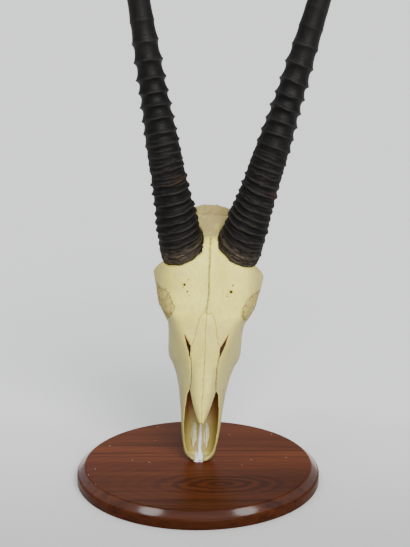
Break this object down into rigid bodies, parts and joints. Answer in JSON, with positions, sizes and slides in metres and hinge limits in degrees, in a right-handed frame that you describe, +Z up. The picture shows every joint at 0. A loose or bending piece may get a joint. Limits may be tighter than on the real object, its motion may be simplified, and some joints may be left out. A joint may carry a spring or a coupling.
{
  "type": "mounted gemsbok skull with horns",
  "caption": "Antelope skull with two long ringed horns, standing nose down on a round chamfered wooden base.",
  "frame": {"origin": "centre of the base's underside", "axes": "+Z up, the face looks along -Y, +X is the animal's left"},
  "size_m": [0.4826, 0.4112, 1.1528],
  "materials": {
    "wood": "red-brown hardwood, stained and polished",
    "bone": "dry cleaned bone, ivory with tan patches",
    "horn": "near-black ringed horn, half glossy",
    "tooth": "tooth enamel, ivory with brown stain",
    "plaster": "white plaster, dull"
  },
  "bodies": {
    "root": {"base": "wood", "skull": "bone", "left_horn": "horn", "right_horn": "horn", "left_front_premolar": "tooth", "left_middle_premolar": "tooth", "left_rear_premolar": "tooth", "left_front_molar": "tooth", "left_middle_molar": "tooth", "left_rear_molar": "tooth", "right_front_premolar": "tooth", "right_middle_premolar": "tooth", "right_rear_premolar": "tooth", "right_front_molar": "tooth", "right_middle_molar": "tooth", "right_rear_molar": "tooth", "plaster": "plaster"}
  },
  "joints": []
}
